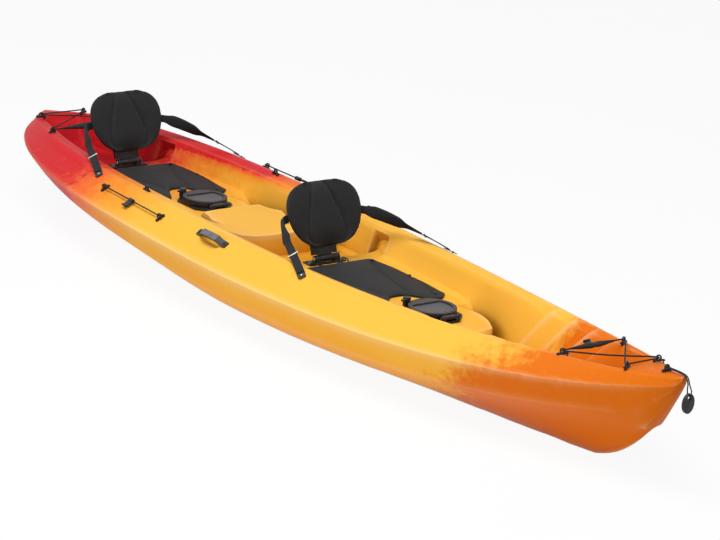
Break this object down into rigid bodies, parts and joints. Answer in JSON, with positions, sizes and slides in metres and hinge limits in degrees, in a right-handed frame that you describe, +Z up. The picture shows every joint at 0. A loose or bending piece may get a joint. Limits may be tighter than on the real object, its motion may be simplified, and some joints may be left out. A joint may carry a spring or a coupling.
{
  "type": "tandem sit-on-top kayak",
  "caption": "Open two-seat paddling boat: hollow moulded hull with foot wells, folding padded seat backs, hinged round hatches, deck lacing, paddle keepers and carry handles.",
  "frame": {"origin": "middle of the hull's length and breadth, on the flat of the keel", "axes": "+X towards the bow, +Y to the left side, +Z up"},
  "size_m": [3.6933, 0.864, 0.4684],
  "materials": {
    "hull_plastic": "satin moulded polyethylene, red at the stern, yellow amidships, orange at the bow",
    "black_plastic": "satin moulded plastic",
    "steel": "satin stainless steel",
    "dark_steel": "stainless steel with a black coat",
    "pad_foam": "matte closed-cell foam",
    "back_cloth": "matte woven cover over foam",
    "webbing": "woven webbing",
    "cord": "braided elastic cord",
    "seal_rubber": "matte",
    "handle_plastic": "satin",
    "slider_plastic": "satin"
  },
  "bodies": {
    "boat": {"hull": "hull_plastic", "front_seat_pad": "pad_foam", "rear_seat_pad": "pad_foam", "seat_pad_studs": "black_plastic", "front_hinge_base": "black_plastic", "rear_hinge_base": "black_plastic", "front_hinge_pin": "steel", "rear_hinge_pin": "steel", "hinge_screws": "dark_steel", "front_left_strap": "webbing", "front_right_strap": "webbing", "rear_left_strap": "webbing", "rear_right_strap": "webbing", "strap_sliders": "slider_plastic", "strap_anchors": "black_plastic", "anchor_screws": "steel", "front_hatch_base": "black_plastic", "rear_hatch_base": "black_plastic", "front_lid_pin": "steel", "rear_lid_pin": "steel", "hatch_screws": "dark_steel", "bow_eyes": "black_plastic", "bow_lacing": "cord", "bow_hook": "black_plastic", "stern_eyes": "black_plastic", "stern_lacing": "cord", "stern_hook": "black_plastic", "rail_eyes": "black_plastic", "eye_screws": "dark_steel", "front_seat_cord": "cord", "toggle_eye": "black_plastic", "toggle_cord": "cord", "toggle_grip": "black_plastic", "keeper_eyes": "black_plastic", "left_keeper_cord": "cord", "right_keeper_cord": "cord", "left_keeper_hook": "black_plastic", "right_keeper_hook": "black_plastic", "left_carry_handle": "handle_plastic", "right_carry_handle": "handle_plastic", "handle_screws": "dark_steel"},
    "front_back": {"front_back_pad": "back_cloth", "front_back_shell": "black_plastic"},
    "rear_back": {"rear_back_pad": "back_cloth", "rear_back_shell": "black_plastic"},
    "front_lid": {"front_hatch_lid": "black_plastic", "front_hatch_seal": "seal_rubber"},
    "rear_lid": {"rear_hatch_lid": "black_plastic", "rear_hatch_seal": "seal_rubber"},
    "front_turn_latch": {"front_latch": "black_plastic"},
    "rear_turn_latch": {"rear_latch": "black_plastic"}
  },
  "joints": [
    {"name": "front_back_fold", "type": "hinge", "parent": "boat", "child": "front_back", "pos_m": [0.06, 0, 0.211], "axis": [0, 1, 0], "range_deg": [0, 72], "deforming": ["front_left_strap", "front_right_strap"]},
    {"name": "rear_back_fold", "type": "hinge", "parent": "boat", "child": "rear_back", "pos_m": [-1.21, 0, 0.211], "axis": [0, 1, 0], "range_deg": [0, 72], "deforming": ["rear_left_strap", "rear_right_strap"]},
    {"name": "front_lid_open", "type": "hinge", "parent": "boat", "child": "front_lid", "pos_m": [0.742, 0, 0.21], "axis": [0, 1, 0], "range_deg": [0, 110]},
    {"name": "rear_lid_open", "type": "hinge", "parent": "boat", "child": "rear_lid", "pos_m": [-0.598, 0, 0.21], "axis": [0, 1, 0], "range_deg": [0, 110]},
    {"name": "front_latch_turn", "type": "hinge", "parent": "boat", "child": "front_turn_latch", "pos_m": [0.56163, -0.03751, 0.222], "axis": [0, 0, 1], "range_deg": [0, 90]},
    {"name": "rear_latch_turn", "type": "hinge", "parent": "boat", "child": "rear_turn_latch", "pos_m": [-0.77837, -0.03751, 0.222], "axis": [0, 0, 1], "range_deg": [0, 90]}
  ]
}
